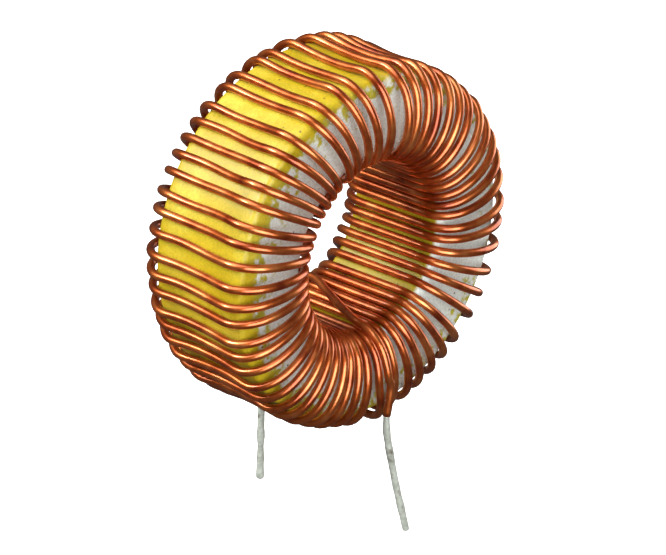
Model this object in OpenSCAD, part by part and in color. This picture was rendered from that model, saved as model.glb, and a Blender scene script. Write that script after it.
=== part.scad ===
// Toroidal power inductor: one layer of enamelled copper wire, wound by hand on a
// powdered-iron ring that stands on its edge over a circuit board on two tinned leads.
// +Z is up. The ring's axis runs along Y and its white face looks towards -Y.
// The origin is on the board, under the ring's centre, where the lowest turn touches.

/* [Ring core] */
// Outside diameter over the coat
core_od = 33; // [27:0.5:40]
// Inside diameter over the coat
core_id = 17.8; // [14.8:0.1:21.4]
// Length along the axis over the coat
core_length = 11.1; // [9:0.1:13.4]
// Radius of the four rounded edges
core_edge = 0.9; // [0.7:0.1:1.2]

/* [Wire] */
// Diameter over the enamel
wire_d = 0.8; // [0.5:0.01:0.85]
// Thickness of the enamel
enamel = 0.03; // [0.02:0.005:0.05]
// Thickness of the solder on the stripped ends
solder = 0.02; // [0.01:0.01:0.08]
// Radius of the wire's bends, along its centre line
bend_radius = 3; // [2.4:0.1:3.2]

/* [Winding] */
// Angle of the first turn's outer run, from +X towards +Z
first_turn = -83.8; // [-88:0.1:-80]
// Angle that the turns cover, from the first turn to the last
wound_arc = 351.8; // [342:0.1:352]
// Lean of a turn across the white face, in degrees round the ring
face_lean = 3; // [1:0.5:3]
// Lean of a turn along the bore, in degrees round the ring
bore_lean = 2.5; // [0:0.5:3]
// How far the turns are drawn together in the bore on the +X side, in degrees
gather = 4.5; // [0:0.5:5]
// Space between the ring's outer wall and the wire
outer_gap = 0.12; // [0.05:0.01:0.4]
// Space between the ring's bore and the wire
bore_gap = 0.05; // [0.05:0.01:0.2]
// How far the turns stand off the ring's flat faces
stand_off = 1.55; // [1.4:0.05:2.2]
// Extra drop of the slack last turn under the ring
slack = 0.3; // [0:0.05:1]
// Space between the second layer and the first, where the wire's end crosses back
layer_gap = 0.12; // [0.05:0.01:0.3]

/* [Leads] */
// How far the leads reach below the board's face
lead_reach = 10.55; // [4:0.05:16]
// Lean of the front lead along X, in degrees
front_lean_x = 8.2; // [0:0.1:9]
// Lean of the front lead away from the ring, in degrees
front_lean_y = 3.5; // [0:0.1:8]
// Lean of the rear lead along X, in degrees
rear_lean_x = 3.3; // [0:0.1:8]
// Lean of the rear lead away from the ring, in degrees
rear_lean_y = 5; // [0:0.1:8]
// Place along X where the front lead bends down past the rim
front_bend_x = -0.15; // [-0.15:0.05:0.3]
// Place along X where the rear lead bends down past the rim
rear_bend_x = -1.65; // [-2.2:0.05:-1.4]
// Length of enamelled wire below each lead's bend
strip_from_bend = 0.4; // [0.4:0.1:2]

/* [Hidden] */
$fn = 48;

// The turns in the order they were wound, as [how many steps, share of the free space
// in each step]. Wide shares are the places where the coat shows between the turns.
LAID = [
    [1, 2.1], [4, 1.2], [1, 4.6], [1, 2.6], [1, 2.8], [1, 4.8], [1, 2.9], [1, 1.7],
    [1, 3.8], [3, 1.9], [1, 1.5], [1, 2], [1, 0.6], [1, 0.2], [1, 2.2], [1, 0.4],
    [2, 0], [1, 4], [1, 3], [1, 0], [1, 2.7], [1, 0], [1, 3.1], [3, 0.2], [1, 0.1],
    [1, 1.5], [1, 0], [1, 1.4], [1, 2], [1, 0.6], [1, 0], [1, 1.6], [2, 0], [1, 2],
    [3, 1.1], [5, 0.3], [1, 1.5],
];
// The part of the rim, as angles, whose turns are drawn together in the bore, and the
// part further round where they come back to their usual lean
GATHER_FROM = -90;
GATHER_TO = 30;
EASE_FROM = 100;
EASE_TO = 190;
// Where the wire's end crosses back over the first turns, as angles round the bore
CROSS_REAR = -70;
CROSS_FRONT = -95;
// The least space between two turns side by side in the bore
TURN_GAP = 0.03;
// How much further round the rim the slack last turn is at the rear than at the front
LAST_SLANT = 5;
// Where each lead's bend lies from the crowns of the turns, and how far under the rim
FRONT_BEND_OUT = 0.7;
REAR_BEND_IN = 0.3;
BEND_DROP = 0.37;
// A bend is drawn this much thinner than a straight run, and runs on into it this far
BEND_THINNING = 0.01;
LAP = 0.05;

bare_d = wire_d - 2 * enamel;
solder_d = bare_d + 2 * solder;
outer_r = core_od / 2 + outer_gap + wire_d / 2;
bore_r = core_id / 2 - bore_gap - wire_d / 2;
face_y = core_length / 2 + stand_off + wire_d / 2;
layer = wire_d + layer_gap;
seat_z = outer_r + slack + wire_d / 2;
// Two bends have to fit between the bore and the rim.
bend_r = min(bend_radius, 0.47 * (outer_r - bore_r));

// Two turns can lie no closer in the bore than this step, and the rest is free space.
touch = 2 * asin((wire_d + TURN_GAP) / 2 / bore_r);
shares = [for (group = LAID) for (i = [1:group[0]]) group[1]];
// A small bore has room for fewer turns.
steps = min(len(shares), floor(wound_arc / touch));
free_unit = (wound_arc - steps * touch) / sum_of(shares, steps);
turns = [for (k = [0:steps]) first_turn + k * touch + free_unit * sum_of(shares, k)];
// The turns can only be drawn together by as much as their free space.
drawn = min(gather, (GATHER_TO - GATHER_FROM) / 2 * (1 - steps * touch / wound_arc));
last = len(turns) - 1;

front_bend = [front_bend_x, -face_y - FRONT_BEND_OUT, -core_od / 2 - BEND_DROP];
rear_bend = [rear_bend_x, face_y - REAR_BEND_IN, -core_od / 2 - BEND_DROP];
front_tip = lead_tip(front_bend, front_lean_x, -front_lean_y);
rear_tip = lead_tip(rear_bend, rear_lean_x, rear_lean_y);
path = concat(
    [rear_tip, rear_bend],
    [for (k = [0:last]) for (corner = turn_corners(k)) corner],
    [ring_point(bore_r - layer, CROSS_REAR, face_y + layer),
     ring_point(bore_r - layer, CROSS_FRONT, -face_y - layer),
     front_bend, front_tip]
);

function sum_of(list, count) = count <= 0 ? 0 : list[count - 1] + sum_of(list, count - 1);
function ring_point(r, angle, y) = [r * cos(angle), y, r * sin(angle)];
function unit(v) = v / norm(v);
function turning(a, b) = acos(max(-1, min(1, a * b)));

// The far end of a lead that leaves its bend at these leans
function lead_tip(bend, lean_x, lean_y) =
    bend + [tan(lean_x), tan(lean_y), -1] * (seat_z + lead_reach + bend[2]);

// How far round the bore a turn sits from its usual lean, by its angle on the rim
function gathered(angle) =
    lookup(angle, [[GATHER_FROM, drawn], [GATHER_TO, -drawn], [EASE_FROM, -drawn], [EASE_TO, 0]]);

// The four corners of one turn: bore rear, bore front, rim front, rim rear.
// The last turn is slack where it passes under the ring.
function turn_corners(k) =
    let (
        angle = turns[k],
        bore_angle = angle - face_lean + gathered(angle),
        rim_r = outer_r + (k == last ? slack : 0),
        rear_y = face_y + (k == last ? layer : 0)
    )
    [ring_point(bore_r, bore_angle - bore_lean, face_y),
     ring_point(bore_r, bore_angle, -face_y),
     ring_point(rim_r, angle, -face_y),
     ring_point(rim_r, angle + (k == last ? LAST_SLANT : 0), rear_y)];

// How much of a straight run the bend at this corner takes up
function bend_share(points, i) =
    i == 0 || i == len(points) - 1 ? 0 :
    bend_r * tan(turning(unit(points[i] - points[i - 1]),
                         unit(points[i + 1] - points[i])) / 2);

// A round bar from one point to another
module bar(from, to, d) {
    run = to - from;
    translate(from)
        rotate([0, acos(run[2] / norm(run)), atan2(run[1], run[0])])
            cylinder(d = d, h = norm(run));
}

// The bend at a corner, turning from the direction a to the direction b
module bend(corner, a, b) {
    angle = turning(a, b);
    inward = unit(b - (a * b) * a);
    centre = corner - a * bend_r * tan(angle / 2) + inward * bend_r;
    x = -inward;
    z = cross(x, a);
    lap = LAP / bend_r * 180 / PI;
    multmatrix([
        [x[0], a[0], z[0], centre[0]],
        [x[1], a[1], z[1], centre[1]],
        [x[2], a[2], z[2], centre[2]]
    ])
        rotate([0, 0, -lap])
            rotate_extrude(angle = angle + 2 * lap)
                translate([bend_r, 0]) circle(d = wire_d - BEND_THINNING);
}

// Wire along a list of corners, with a round bend at each one between its ends
module bent_wire(points) {
    for (i = [0:len(points) - 2]) {
        along = unit(points[i + 1] - points[i]);
        bar(points[i] + along * bend_share(points, i),
            points[i + 1] - along * bend_share(points, i + 1), wire_d);
        if (i > 0)
            bend(points[i], unit(points[i] - points[i - 1]), along);
    }
}

// The point where the enamel ends on the lead from a bend to its tip
function strip_point(from, tip) = from + unit(tip - from) * strip_from_bend;

// Pressed iron powder with a painted coat, its edges rounded
module core() {
    ring_w = (core_od - core_id) / 2;
    color("gold")
        translate([0, 0, seat_z])
            rotate([90, 0, 0])
                rotate_extrude($fn = 96)
                    translate([core_id / 2 + ring_w / 2, 0])
                        rounded_section(ring_w, core_length, core_edge);
}

// A rectangle with round corners, centred
module rounded_section(w, h, r) {
    square([w - 2 * r, h], center = true);
    square([w, h - 2 * r], center = true);
    for (x = [-1, 1], y = [-1, 1])
        translate([x * (w / 2 - r), y * (h / 2 - r)]) circle(r = r);
}

// One length of wire from tip to tip, bare where its ends are stripped
module winding() {
    coated = [for (i = [0:len(path) - 1])
        i == 0 ? strip_point(rear_bend, rear_tip) :
        i == len(path) - 1 ? strip_point(front_bend, front_tip) : path[i]];
    color("sienna")
        translate([0, 0, seat_z]) {
            bent_wire(coated);
            stripped_end(rear_bend, rear_tip);
            stripped_end(front_bend, front_tip);
        }
}

// Bare copper, which starts a little inside the enamelled wire
module stripped_end(from, tip) {
    bar(strip_point(from, tip) - unit(tip - from) * LAP, tip, bare_d);
}

// Solder that coats a stripped end and closes over its tip
module lead_solder(from, tip) {
    along = unit(tip - from);
    color("silver")
        translate([0, 0, seat_z])
            difference() {
                bar(strip_point(from, tip), tip + along * solder, solder_d);
                bar(from, tip, bare_d);
            }
}

module front_lead_solder() { lead_solder(front_bend, front_tip); }
module rear_lead_solder() { lead_solder(rear_bend, rear_tip); }

core();
winding();
front_lead_solder();
rear_lead_solder();
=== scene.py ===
import math
import random

import bpy
import numpy as np
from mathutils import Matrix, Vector


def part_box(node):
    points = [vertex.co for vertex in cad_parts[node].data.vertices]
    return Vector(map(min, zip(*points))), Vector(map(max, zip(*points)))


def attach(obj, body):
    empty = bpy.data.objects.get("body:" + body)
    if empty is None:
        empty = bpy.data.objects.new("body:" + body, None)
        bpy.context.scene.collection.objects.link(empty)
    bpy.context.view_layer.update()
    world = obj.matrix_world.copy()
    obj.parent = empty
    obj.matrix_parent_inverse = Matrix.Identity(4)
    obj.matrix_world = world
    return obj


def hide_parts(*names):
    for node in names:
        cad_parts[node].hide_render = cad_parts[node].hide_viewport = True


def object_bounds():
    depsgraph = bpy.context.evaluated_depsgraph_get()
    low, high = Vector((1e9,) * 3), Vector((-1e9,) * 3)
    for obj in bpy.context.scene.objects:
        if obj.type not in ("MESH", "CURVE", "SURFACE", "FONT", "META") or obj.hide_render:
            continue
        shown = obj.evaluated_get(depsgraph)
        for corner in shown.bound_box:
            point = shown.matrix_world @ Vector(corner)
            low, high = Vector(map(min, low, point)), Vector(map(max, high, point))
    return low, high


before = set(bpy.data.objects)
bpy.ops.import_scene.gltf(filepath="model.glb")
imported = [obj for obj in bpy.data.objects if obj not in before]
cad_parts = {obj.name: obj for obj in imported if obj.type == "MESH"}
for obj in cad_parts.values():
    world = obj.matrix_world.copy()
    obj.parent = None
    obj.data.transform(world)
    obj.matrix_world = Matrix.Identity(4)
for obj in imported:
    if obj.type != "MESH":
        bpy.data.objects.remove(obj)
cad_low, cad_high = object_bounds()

MM = 0.001
ring_low, ring_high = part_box("core")
ring_centre = Vector((ring_low[i] + ring_high[i]) / 2 for i in range(3))
VIEW_AZIMUTH, VIEW_ELEVATION = math.radians(-44.8), math.radians(25)
VIEW_DISTANCE, LENS_MM = 433.8, 256.4
AIM_DOWN, AIM_RIGHT = 4.29, 0.45
view_back = Vector((math.sin(VIEW_AZIMUTH) * math.cos(VIEW_ELEVATION),
                    -math.cos(VIEW_AZIMUTH) * math.cos(VIEW_ELEVATION),
                    math.sin(VIEW_ELEVATION)))
view_right = Vector((math.cos(VIEW_AZIMUTH), math.sin(VIEW_AZIMUTH), 0))
view_up = view_back.cross(view_right)


def look_from(thing, place, target):
    """Put a camera or lamp at a place and aim it at a target"""
    thing.location = place
    thing.rotation_euler = (target - place).to_track_quat("-Z", "Y").to_euler()


camera = bpy.data.objects.new("camera", bpy.data.cameras.new("camera"))
bpy.context.collection.objects.link(camera)
bpy.context.scene.camera = camera
camera.data.sensor_width = 36
camera.data.lens = LENS_MM
camera.data.clip_start = 0.01
camera.data.clip_end = 20
look_from(camera, ring_centre + view_back * VIEW_DISTANCE * MM,
          ring_centre - view_up * AIM_DOWN * MM + view_right * AIM_RIGHT * MM)


def linear(hex_colour):
    """An sRGB hex colour as the linear values that a shader takes"""
    parts = [int(hex_colour[i:i + 2], 16) / 255 for i in (1, 3, 5)]
    return [p / 12.92 if p <= 0.04045 else ((p + 0.055) / 1.055) ** 2.4 for p in parts] + [1]


def add_node(material, kind, settings=None, inputs=None):
    """A shader node with its settings, and with its sockets set or linked"""
    tree = material.node_tree
    made = tree.nodes.new(kind)
    for name, value in (settings or {}).items():
        setattr(made, name, value)
    for name, value in (inputs or {}).items():
        if isinstance(value, bpy.types.NodeSocket):
            tree.links.new(value, made.inputs[name])
        else:
            made.inputs[name].default_value = value
    return made


def new_material(name):
    """An empty node-based material"""
    material = bpy.data.materials.new(name)
    material.use_nodes = True
    material.node_tree.nodes.clear()
    return material


def ramp(material, source, stops):
    """A colour ramp between stops of (position, colour)"""
    made = add_node(material, "ShaderNodeValToRGB", inputs={"Fac": source})
    elements = made.color_ramp.elements
    while len(elements) < len(stops):
        elements.new(0.5)
    for element, (position, colour) in zip(elements, stops):
        element.position = position
        element.color = colour
    return made.outputs["Color"]


def mesh_piece(name, vertices, faces, material):
    """A smooth-shaded mesh object of one material"""
    mesh = bpy.data.meshes.new(name)
    mesh.from_pydata([tuple(v) for v in vertices], [], faces)
    mesh.validate()
    for face in mesh.polygons:
        face.use_smooth = True
    mesh.materials.append(material)
    piece = bpy.data.objects.new(name, mesh)
    bpy.context.collection.objects.link(piece)
    return piece


# White acrylic table top, matt, and lit from below as a light table. It shows no shadow.
table_white = new_material("white matt acrylic, lit from below")
table_shader = add_node(table_white, "ShaderNodeBsdfPrincipled",
                        inputs={"Base Color": linear("#fbfbfb"), "Roughness": 0.9,
                                "Emission Color": linear("#ffffff"), "Emission Strength": 1.0})
add_node(table_white, "ShaderNodeOutputMaterial", inputs={"Surface": table_shader.outputs[0]})
TABLE_HALF = 3.0
table = mesh_piece("table", [(x * TABLE_HALF, y * TABLE_HALF, cad_low[2])
                             for x, y in ((-1, -1), (1, -1), (1, 1), (-1, 1))],
                   [(0, 1, 2, 3)], table_white)
table.visible_glossy = table.visible_diffuse = False
bpy.context.scene.view_settings.view_transform = "Standard"

studio = bpy.data.worlds.new("studio")
bpy.context.scene.world = studio
studio.use_nodes = True
studio.node_tree.nodes["Background"].inputs["Color"].default_value = (1, 1, 1, 1)
studio.node_tree.nodes["Background"].inputs["Strength"].default_value = 0.08


def soft_lamp(name, direction, distance, size, power):
    """A square soft box, aimed at the ring from a direction and distance"""
    lamp = bpy.data.objects.new(name, bpy.data.lights.new(name, "AREA"))
    lamp.data.shape = "SQUARE"
    lamp.data.size = size
    lamp.data.energy = power
    bpy.context.collection.objects.link(lamp)
    look_from(lamp, ring_centre + Vector(direction).normalized() * distance, ring_centre)


soft_lamp("large top soft box", (-0.5, 0.25, 0.85), 0.55, 0.6, 3.4)
soft_lamp("left key", (-0.72, 0.45, 0.6), 0.5, 0.16, 1.7)
soft_lamp("front fill", (-0.55, -0.9, 0.2), 0.6, 0.55, 5.6)
soft_lamp("right fill", (0.85, -0.15, 0.1), 0.6, 0.5, 2.4)

# Ring core: iron powder pressed and baked into a ring, then spray-coated all over with
# yellow epoxy and with white on one face. The coat rounds its edges and holds some dust.
CORE_OD, CORE_ID = ring_high[0] - ring_low[0], 17.8 * MM
CORE_LENGTH = ring_high[1] - ring_low[1]
CORE_EDGE = 0.65 * MM
EDGE_STEPS, RING_STEPS = 8, 288
FLAT_ROW = 0.8 * MM
half_wall = (CORE_OD - CORE_ID) / 4
core_mid_r = (CORE_OD + CORE_ID) / 4

section = []
for quarter, (sx, sy) in enumerate(((1, -1), (1, 1), (-1, 1), (-1, -1))):
    for step in range(EDGE_STEPS + 1):
        turn = math.radians(-90 + 90 * quarter + 90 * step / EDGE_STEPS)
        section.append((core_mid_r + sx * (half_wall - CORE_EDGE) + CORE_EDGE * math.cos(turn),
                        sy * (CORE_LENGTH / 2 - CORE_EDGE) + CORE_EDGE * math.sin(turn)))
# The flats between the edges get rows of their own, so that their faces stay compact.
filled = []
for (r0, y0), (r1, y1) in zip(section, section[1:] + section[:1]):
    rows = max(1, round(math.hypot(r1 - r0, y1 - y0) / FLAT_ROW))
    filled += [(r0 + (r1 - r0) * i / rows, y0 + (y1 - y0) * i / rows) for i in range(rows)]
core_vertices, core_faces = [], []
for step in range(RING_STEPS):
    angle = math.tau * step / RING_STEPS
    for row, (r, y) in enumerate(filled):
        core_vertices.append((r * math.cos(angle), ring_centre[1] + y,
                              ring_centre[2] + r * math.sin(angle)))
        here, beside = step * len(filled) + row, step * len(filled) + (row + 1) % len(filled)
        turned = len(filled) * RING_STEPS
        core_faces.append((here, beside, (beside + len(filled)) % turned,
                           (here + len(filled)) % turned))

# Spray-coated epoxy paint: satin, with a fine grain of the powder under it, a few dark
# pits where grains show, and a soft edge of overspray where the yellow meets the white.
YELLOW, YELLOW_DEEP, YELLOW_PALE = "#c4ae20", "#b5a012", "#d8cc48"
WHITE, OVERSPRAY, PIT = "#e6efe8", "#bdb63c", "#3a3214"
GRAIN = "#6e6420"
coat = new_material("yellow and white sprayed epoxy coat")
place = add_node(coat, "ShaderNodeTexCoord").outputs["Object"]
centred = add_node(coat, "ShaderNodeVectorMath", {"operation": "SUBTRACT"},
                   {0: place, 1: tuple(ring_centre)}).outputs[0]
axes = add_node(coat, "ShaderNodeSeparateXYZ", inputs={0: centred}).outputs
flat = add_node(coat, "ShaderNodeVectorMath", {"operation": "MULTIPLY"},
                {0: centred, 1: (1, 0, 1)}).outputs[0]
radius = add_node(coat, "ShaderNodeVectorMath", {"operation": "LENGTH"},
                  {0: flat}).outputs["Value"]
blotch = add_node(coat, "ShaderNodeTexNoise",
                  inputs={"Vector": place, "Scale": 1 / (5 * MM), "Detail": 3.0}).outputs["Fac"]
grain = add_node(coat, "ShaderNodeTexNoise",
                 inputs={"Vector": place, "Scale": 1 / (0.22 * MM), "Detail": 2.0}).outputs["Fac"]
yellow_tone = ramp(coat, blotch, [(0.3, linear(YELLOW_DEEP)), (0.5, linear(YELLOW)),
                                  (0.72, linear(YELLOW_PALE))])
# The white starts where the face turns into the rim's round edge, and its border wanders.
border = add_node(coat, "ShaderNodeTexNoise",
                  inputs={"Vector": place, "Scale": 1 / (1.6 * MM), "Detail": 4.0}).outputs["Fac"]
wander = add_node(coat, "ShaderNodeMath", {"operation": "MULTIPLY_ADD"},
                  {0: border, 1: 1.6 * MM, 2: -0.8 * MM}).outputs[0]
# The yellow was sprayed from the left, so there it drifts further in over the face.
drift = add_node(coat, "ShaderNodeMath", {"operation": "MULTIPLY_ADD"},
                 {0: axes["X"], 1: 0.08, 2: 0.0}).outputs[0]
reach = add_node(coat, "ShaderNodeMath", {"operation": "ADD"},
                 {0: radius, 1: wander}).outputs[0]
reach = add_node(coat, "ShaderNodeMath", {"operation": "SUBTRACT"},
                 {0: reach, 1: drift}).outputs[0]
on_rim = add_node(coat, "ShaderNodeMapRange",
                  {"interpolation_type": "SMOOTHSTEP"},
                  {"Value": reach, "From Min": 15.7 * MM, "From Max": 16.4 * MM}).outputs[0]
# Drops of overspray reach in over the white, thick near the rim and sparse further in.
drops = add_node(coat, "ShaderNodeTexNoise",
                 inputs={"Vector": place, "Scale": 1 / (0.9 * MM), "Detail": 6.0}).outputs["Fac"]
drop_reach = add_node(coat, "ShaderNodeMath", {"operation": "MULTIPLY_ADD"},
                      {0: drops, 1: 14.0 * MM, 2: reach}).outputs[0]
in_drift = add_node(coat, "ShaderNodeMapRange",
                    {"interpolation_type": "SMOOTHSTEP"},
                    {"Value": drop_reach, "From Min": 21.4 * MM, "From Max": 23.4 * MM}).outputs[0]
face_y = -CORE_LENGTH / 2
off_face = add_node(coat, "ShaderNodeMapRange",
                    inputs={"Value": axes["Y"], "From Min": face_y + 0.25 * MM,
                            "From Max": face_y + 0.6 * MM}).outputs[0]
white_tone = add_node(coat, "ShaderNodeMix", {"data_type": "RGBA"},
                      {"Factor": in_drift, "A": linear(WHITE),
                       "B": linear(OVERSPRAY)}).outputs["Result"]
is_yellow = add_node(coat, "ShaderNodeMath", {"operation": "MAXIMUM"},
                     {0: on_rim, 1: off_face}).outputs[0]
tone = add_node(coat, "ShaderNodeMix", {"data_type": "RGBA"},
                {"Factor": is_yellow, "A": white_tone, "B": yellow_tone}).outputs["Result"]
speckle = add_node(coat, "ShaderNodeMapRange",
                   inputs={"Value": grain, "From Min": 0.32, "From Max": 0.6,
                           "To Min": 0.25, "To Max": 0.0}).outputs[0]
tone = add_node(coat, "ShaderNodeMix", {"data_type": "RGBA"},
                {"Factor": speckle, "A": tone, "B": linear(GRAIN)}).outputs["Result"]
pit_cells = add_node(coat, "ShaderNodeTexVoronoi",
                     inputs={"Vector": place, "Scale": 1 / (1.5 * MM)}).outputs["Distance"]
pits = add_node(coat, "ShaderNodeMapRange",
                inputs={"Value": pit_cells, "From Min": 0.05, "From Max": 0.09,
                        "To Min": 0.8, "To Max": 0.0}).outputs[0]
tone = add_node(coat, "ShaderNodeMix", {"data_type": "RGBA"},
                {"Factor": pits, "A": tone, "B": linear(PIT)}).outputs["Result"]
relief = add_node(coat, "ShaderNodeMath", {"operation": "SUBTRACT"},
                  {0: grain, 1: pits}).outputs[0]
coat_bump = add_node(coat, "ShaderNodeBump",
                     inputs={"Height": relief, "Strength": 0.35, "Distance": 0.05 * MM})
coat_rough = add_node(coat, "ShaderNodeMapRange",
                      inputs={"Value": grain, "To Min": 0.32, "To Max": 0.5}).outputs[0]
coat_shader = add_node(coat, "ShaderNodeBsdfPrincipled",
                       inputs={"Base Color": tone, "Roughness": coat_rough,
                               "Normal": coat_bump.outputs["Normal"], "IOR": 1.5})
add_node(coat, "ShaderNodeOutputMaterial", inputs={"Surface": coat_shader.outputs[0]})

core = mesh_piece("core_coated_ring", core_vertices, core_faces, coat)
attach(core, "root")
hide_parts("core")

# Winding: one length of 0.8 mm enamelled copper wire, pulled through the ring by hand turn
# after turn. Each turn springs off the flat faces in a round bow, and none lies quite true.
# All of its sizes are in mm, from the ring's centre.
WIRE_R = 0.4
CORE_R, CORE_BORE_R, CORE_WIDTH = 16.5, 8.9, 11.1
OUTER_GAP, BORE_GAP, STAND_OFF = 0.12, 0.05, 1.55
TURN_GAP, LAYER_GAP = 0.03, 0.12
RIM_R = CORE_R + OUTER_GAP + WIRE_R
BORE_R = CORE_BORE_R - BORE_GAP - WIRE_R
LAYER = 2 * WIRE_R + LAYER_GAP
FIRST_TURN, WOUND_ARC = -83.8, 351.8
FACE_LEAN, BORE_LEAN = 3.0, 2.5
CROSS_REAR, CROSS_FRONT = -70.0, -95.0
# The turns are drawn together in the bore on one side: how far each shifts round the bore
GATHER_AT = (-90, -50, -33, -25, -15, 30, 60, 125)
GATHER_BY = (4.5, 2.6, 2.2, 1.6, -1.1, -4.5, -4.5, 0)
# How many steps, and the share of free space in each, in the order they were wound
LAID = [(1, 2.1), (4, 1.2), (1, 4.6), (1, 2.6), (1, 2.8), (1, 4.8), (1, 2.9), (1, 1.7),
        (1, 3.8), (3, 1.9), (1, 1.5), (1, 2), (1, 0.6), (1, 0.2), (1, 2.2), (1, 0.4),
        (2, 0), (1, 4), (1, 3), (1, 0), (1, 2.7), (1, 0), (1, 3.1), (3, 0.2), (1, 0.1),
        (1, 1.5), (1, 0), (1, 1.4), (1, 2), (1, 0.6), (1, 0), (1, 1.6), (2, 0), (1, 2),
        (3, 1.1), (5, 0.3), (1, 1.5)]
touch = 2 * math.degrees(math.asin((WIRE_R + TURN_GAP / 2) / BORE_R))
shares = [share for steps, share in LAID for _ in range(steps)]
unit_share = (WOUND_ARC - len(shares) * touch) / sum(shares)
turns = [FIRST_TURN + k * touch + unit_share * sum(shares[:k]) for k in range(len(shares) + 1)]

# The bow of a turn over a flat face: two tight arcs at its ends and a wide one between
BOW_END_R, BOW_END_TURN = 3.0, math.radians(70)
BOW_SPAN = RIM_R - BORE_R
BOW_MID_R = BOW_END_R + (BOW_SPAN / 2 - BOW_END_R) / math.cos(BOW_END_TURN)
BOW_FOOT = (BOW_MID_R - BOW_END_R) * math.sin(BOW_END_TURN)
BOW_RISE = BOW_MID_R - BOW_FOOT
CROWN_Y = CORE_WIDTH / 2 + STAND_OFF + WIRE_R
SPRING_Y = CROWN_Y - BOW_RISE
BOW_END_STEPS, BOW_MID_STEPS = 8, 4
bow = []
for i in range(BOW_END_STEPS + 1):
    a = BOW_END_TURN * i / BOW_END_STEPS
    bow.append((BOW_END_R - BOW_END_R * math.cos(a), BOW_END_R * math.sin(a)))
for i in range(1, BOW_MID_STEPS + 1):
    a = BOW_END_TURN + (math.pi / 2 - BOW_END_TURN) * i / BOW_MID_STEPS
    bow.append((BOW_SPAN / 2 - BOW_MID_R * math.cos(a), BOW_MID_R * math.sin(a) - BOW_FOOT))
bow += [(BOW_SPAN - u, v) for u, v in reversed(bow[:-1])]
bow = [(u / BOW_SPAN, v / BOW_RISE) for u, v in bow]
MID_BOW = len(bow) // 2


def wire_point(r, angle, y):
    """A point on the wire, by its distance from the axis and its angle round the ring"""
    return (r * math.cos(math.radians(angle)), y, r * math.sin(math.radians(angle)))


def bore_angle(rim_angle):
    """Where the turn at an angle on the rim comes out of the bore, over the white face"""
    return rim_angle - FACE_LEAN + float(np.interp(rim_angle, GATHER_AT, GATHER_BY))


def mix(a, b, t):
    return a + (b - a) * t


def spring(y, mid_lift, corner_lift):
    """How far a turn lifts off the rim: pulled down in the middle, sprung near its corners"""
    pulled = mid_lift * math.exp(-(y / 2.6) ** 2)
    return pulled + corner_lift * math.exp(-((abs(y) - 4.6) / 1.7) ** 2)


BORE_STEPS, RIM_STEPS = 9, 14
hand = random.Random(11)
route = []
last = len(turns) - 1
for k, angle in enumerate(turns):
    # The first turns were pulled tighter over the white face than the rest.
    crown = BOW_RISE + hand.uniform(-0.12, 0.12) - 0.35 * max(0, 1 - k / 12)
    rear_crown = BOW_RISE + hand.uniform(-0.12, 0.12)
    middle, corner = hand.uniform(-0.14, -0.05), hand.uniform(0.08, 0.28)
    sway = hand.uniform(-0.3, 0.3)
    bore_front = bore_angle(angle)
    bore_rear = bore_front - BORE_LEAN
    for i in range(BORE_STEPS):
        t = i / BORE_STEPS
        route.append(wire_point(BORE_R, mix(bore_rear, bore_front, t),
                                mix(SPRING_Y, -SPRING_Y, t)))
    if k == last:
        break
    for t, h in bow:
        y = -(SPRING_Y + crown * h)
        lift = spring(y, middle, corner) * max(0, 2 * t - 1) ** 2
        route.append(wire_point(mix(BORE_R, RIM_R, t) + lift,
                                mix(bore_front, angle, t) + sway * math.sin(math.pi * t), y))
    for i in range(1, RIM_STEPS):
        t = i / RIM_STEPS
        y = mix(-SPRING_Y, SPRING_Y, t)
        route.append(wire_point(RIM_R + spring(y, middle, corner),
                                angle - sway * math.sin(math.tau * t), y))
    bore_next = bore_angle(turns[k + 1]) - BORE_LEAN
    for t, h in bow:
        y = SPRING_Y + rear_crown * h
        lift = spring(y, middle, corner) * max(0, 1 - 2 * t) ** 2
        route.append(wire_point(mix(RIM_R, BORE_R, t) + lift, mix(angle, bore_next, t), y))

# The last turn hangs slack in a small loop under the ring, crosses back over the first
# turns on a second layer, and comes down the white face as the front lead.
last_angle = turns[last]
for t, h in bow[:MID_BOW + 1]:
    route.append(wire_point(mix(BORE_R, RIM_R, t),
                            mix(last_angle - FACE_LEAN, last_angle - 1, t),
                            -(SPRING_Y + BOW_RISE * h)))
# The loop's points: distance from the axis, degrees on from the last turn, and depth
SLACK_LOOP = ((14.7, 0.2, -7.3), (15.85, 1.6, -6.95), (16.7, 2.4, -6.3), (17.15, 3.0, -5.3),
              (17.3, 3.5, -4.0), (17.32, 3.9, -2.0), (17.3, 4.2, 0.5), (17.15, 4.5, 3.0),
              (17.2, 4.7, 5.2), (17.0, 4.9, 6.6), (16.1, 5.0, 7.7))
LOOP_END_TURN = 5
for r, turned, y in SLACK_LOOP:
    route.append(wire_point(r, last_angle + turned, y))
for t, h in bow[MID_BOW - 2:]:
    route.append(wire_point(mix(RIM_R, BORE_R - LAYER, t),
                            mix(last_angle + LOOP_END_TURN, 360 + CROSS_REAR, t),
                            SPRING_Y + (BOW_RISE + LAYER) * h))
for i in range(1, RIM_STEPS):
    t = i / RIM_STEPS
    route.append(wire_point(BORE_R - LAYER, mix(CROSS_REAR, CROSS_FRONT, t),
                            mix(SPRING_Y, -SPRING_Y, t)))
for t, h in bow[:MID_BOW + 1]:
    route.append(wire_point(mix(BORE_R - LAYER, RIM_R, t), mix(CROSS_FRONT, -90.0, t),
                            -(SPRING_Y + (BOW_RISE + LAYER) * h)))
FRONT_STRIP = (-0.6, -8.2, -15.8)
route += [(-0.15, -8.4, -12.4), (-0.35, -8.35, -14.1), FRONT_STRIP]

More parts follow.
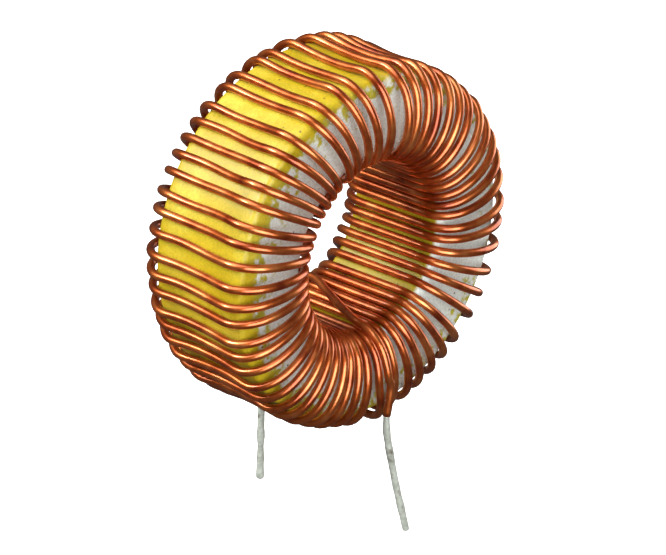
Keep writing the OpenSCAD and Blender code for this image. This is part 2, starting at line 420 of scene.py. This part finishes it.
# The first turn starts as the rear lead, which comes straight up the back face.
REAR_STRIP = (-1.45, 7.35, -17.2)
start = [REAR_STRIP, (-1.5, 7.3, -16.4), (-1.45, 7.35, -14.8), (-1.1, 7.5, -12.5)]
first_rear = bore_angle(turns[0]) - BORE_LEAN
for t, h in bow[MID_BOW + 2:-1]:
    start.append(wire_point(mix(RIM_R, BORE_R, t), mix(-93, first_rear, t),
                            SPRING_Y + BOW_RISE * h))
route = start + route


def even_path(points, step, soften):
    """The points as an evenly stepped path, softened over the given length; all in mm"""
    points = np.array(points, float)
    fine = 0.05
    reach = np.concatenate([[0], np.cumsum(np.linalg.norm(np.diff(points, axis=0), axis=1))])
    at = np.linspace(0, reach[-1], int(reach[-1] / fine) + 1)
    line = np.stack([np.interp(at, reach, points[:, i]) for i in range(3)], 1)
    span = int(3 * soften / fine)
    weights = np.exp(-0.5 * (np.arange(-span, span + 1) * fine / soften) ** 2)
    weights /= weights.sum()
    padded = np.concatenate([2 * line[:1] - line[span:0:-1], line,
                             2 * line[-1:] - line[-2:-span - 2:-1]])
    line = np.stack([np.convolve(padded[:, i], weights, "valid") for i in range(3)], 1)
    reach = np.concatenate([[0], np.cumsum(np.linalg.norm(np.diff(line, axis=0), axis=1))])
    at = np.linspace(0, reach[-1], round(reach[-1] / step) + 1)
    return np.stack([np.interp(at, reach, line[:, i]) for i in range(3)], 1)


def tube(path, radii, sides):
    """Vertices and faces of a round bar along a path in mm, placed in the ring, in metres"""
    path = np.array(path)
    along = np.gradient(path, axis=0)
    along /= np.linalg.norm(along, axis=1)[:, None]
    side = np.cross(along[0], (0, 1, 0.3))
    vertices, faces = [], []
    for i, (point, forward) in enumerate(zip(path, along)):
        side = side - forward * side.dot(forward)
        side /= np.linalg.norm(side)
        other = np.cross(forward, side)
        for j in range(sides):
            a = math.tau * j / sides
            spot = point + radii[i] * (math.cos(a) * side + math.sin(a) * other)
            vertices.append(tuple(ring_centre + Vector(spot) * MM))
            if i:
                here, beside = i * sides + j, i * sides + (j + 1) % sides
                faces.append((here - sides, beside - sides, beside, here))
    faces.append(tuple(reversed(range(sides))))
    faces.append(tuple(range(len(vertices) - sides, len(vertices))))
    return vertices, faces


WIRE_SIDES = 14
WIRE_STEP, WIRE_SOFTENING = 0.42, 0.3
wire_path = even_path(route, WIRE_STEP, WIRE_SOFTENING)
wire_vertices, wire_faces = tube(wire_path, [WIRE_R] * len(wire_path), WIRE_SIDES)

# Polyurethane enamel over drawn copper: a bright metal seen through a clear amber-red
# varnish, so it shines sharply on top and glows deep red where turns reflect each other.
ENAMEL_BRIGHT, ENAMEL_MID, ENAMEL_DARK = "#e89a5c", "#cc7238", "#984018"
enamel = new_material("amber polyurethane enamel on copper wire")
place = add_node(enamel, "ShaderNodeTexCoord").outputs["Object"]
streak = add_node(enamel, "ShaderNodeTexNoise",
                  inputs={"Vector": place, "Scale": 1 / (2.5 * MM), "Detail": 4.0}).outputs["Fac"]
fine = add_node(enamel, "ShaderNodeTexNoise",
                inputs={"Vector": place, "Scale": 1 / (0.3 * MM), "Detail": 2.0}).outputs["Fac"]
tone = ramp(enamel, streak, [(0.3, linear(ENAMEL_DARK)), (0.5, linear(ENAMEL_MID)),
                             (0.7, linear(ENAMEL_BRIGHT))])
enamel_rough = add_node(enamel, "ShaderNodeMapRange",
                        inputs={"Value": fine, "To Min": 0.27, "To Max": 0.38}).outputs[0]
enamel_bump = add_node(enamel, "ShaderNodeBump",
                       inputs={"Height": fine, "Strength": 0.12, "Distance": 0.03 * MM})
enamel_shader = add_node(enamel, "ShaderNodeBsdfPrincipled",
                         inputs={"Base Color": tone, "Metallic": 0.85, "Roughness": enamel_rough,
                                 "Normal": enamel_bump.outputs["Normal"],
                                 "Coat Weight": 0.6, "Coat Roughness": 0.12, "Coat IOR": 1.55,
                                 "Coat Tint": linear("#f3c9a0")})
add_node(enamel, "ShaderNodeOutputMaterial", inputs={"Surface": enamel_shader.outputs[0]})

winding = mesh_piece("winding_wire", wire_vertices, wire_faces, enamel)
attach(winding, "root")
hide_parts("winding")

# Leads: the wire's two ends, scraped bare and dipped in solder for the board's holes.
# The dip leaves a thin uneven skin that tapers at the enamel and ends in a blunt drop.
TIN_R, TIN_STEP, TIN_SIDES = 0.35, 0.12, 16
LEAD_TIP_Z = (cad_low[2] - ring_centre[2]) / MM
front_route = [FRONT_STRIP, (-0.55, -8.15, -17.6), (-0.1, -8.3, -20.4), (0.4, -8.5, -23.4),
               (1.0, -8.7, -26.2), (1.48, -8.8, LEAD_TIP_Z + 0.02)]
rear_route = [REAR_STRIP, (-1.35, 7.5, -19.5), (-1.2, 7.8, -22.5), (-1.08, 8.0, -25.5),
              (-0.99, 8.2, LEAD_TIP_Z + 0.02)]


def dipped_end(points, tip_radius, tip_length, seed):
    """A lead's solder: lumpy, thin at the enamel, and closed by a blunt round tip"""
    path = even_path(points, TIN_STEP, 0.6)
    lumps = random.Random(seed)
    waves = [(lumps.uniform(0.7, 3.5), lumps.uniform(0, math.tau), lumps.uniform(0.004, 0.014))
             for _ in range(7)]
    length = TIN_STEP * (len(path) - 1)
    radii = []
    for i in range(len(path)):
        s = TIN_STEP * i
        left = length - s
        r = TIN_R + sum(size * math.sin(rate * s + phase) for rate, phase, size in waves)
        swell = math.exp(-((left - tip_length * 0.5) / tip_length) ** 2)
        r = mix(r, tip_radius, swell)
        from_end = min(1, (left + 0.02) / (0.7 * tip_radius))
        r *= min(1, math.sqrt(max(0.0, 1 - (1 - from_end) ** 2)))
        radii.append(max(r, 0.02))
    return tube(path, radii, TIN_SIDES)


# Tin solder, dipped and cooled in air: dull silver with a frosted grain and dark flux stains
# here and there. The rear tip has a brownish burnt drop, which gets no mark of its own.
SOLDER_LIGHT, SOLDER_MID, SOLDER_STAIN = "#d3d8cd", "#b3b9ad", "#7b7363"
solder = new_material("dip-tinned solder, dull")
place = add_node(solder, "ShaderNodeTexCoord").outputs["Object"]
frost = add_node(solder, "ShaderNodeTexNoise",
                 inputs={"Vector": place, "Scale": 1 / (0.5 * MM), "Detail": 5.0}).outputs["Fac"]
stain = add_node(solder, "ShaderNodeTexNoise",
                 inputs={"Vector": place, "Scale": 1 / (1.1 * MM), "Detail": 3.0}).outputs["Fac"]
tone = ramp(solder, frost, [(0.35, linear(SOLDER_MID)), (0.6, linear(SOLDER_LIGHT))])
stained = add_node(solder, "ShaderNodeMapRange",
                   inputs={"Value": stain, "From Min": 0.6, "From Max": 0.72}).outputs[0]
tone = add_node(solder, "ShaderNodeMix", {"data_type": "RGBA"},
                {"Factor": stained, "A": tone, "B": linear(SOLDER_STAIN)}).outputs["Result"]
solder_bump = add_node(solder, "ShaderNodeBump",
                       inputs={"Height": frost, "Strength": 0.5, "Distance": 0.06 * MM})
solder_shader = add_node(solder, "ShaderNodeBsdfPrincipled",
                         inputs={"Base Color": tone, "Metallic": 0.25, "Roughness": 0.45,
                                 "Normal": solder_bump.outputs["Normal"]})
add_node(solder, "ShaderNodeOutputMaterial", inputs={"Surface": solder_shader.outputs[0]})

for name, node, points, tip_r, tip_len, seed in (
        ("front_lead_tin", "front_lead_solder", front_route, 0.33, 0.5, 3),
        ("rear_lead_tin", "rear_lead_solder", rear_route, 0.4, 0.9, 5)):
    vertices, faces = dipped_end(points, tip_r, tip_len, seed)
    lead = mesh_piece(name, vertices, faces, solder)
    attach(lead, "root")
    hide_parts(node)
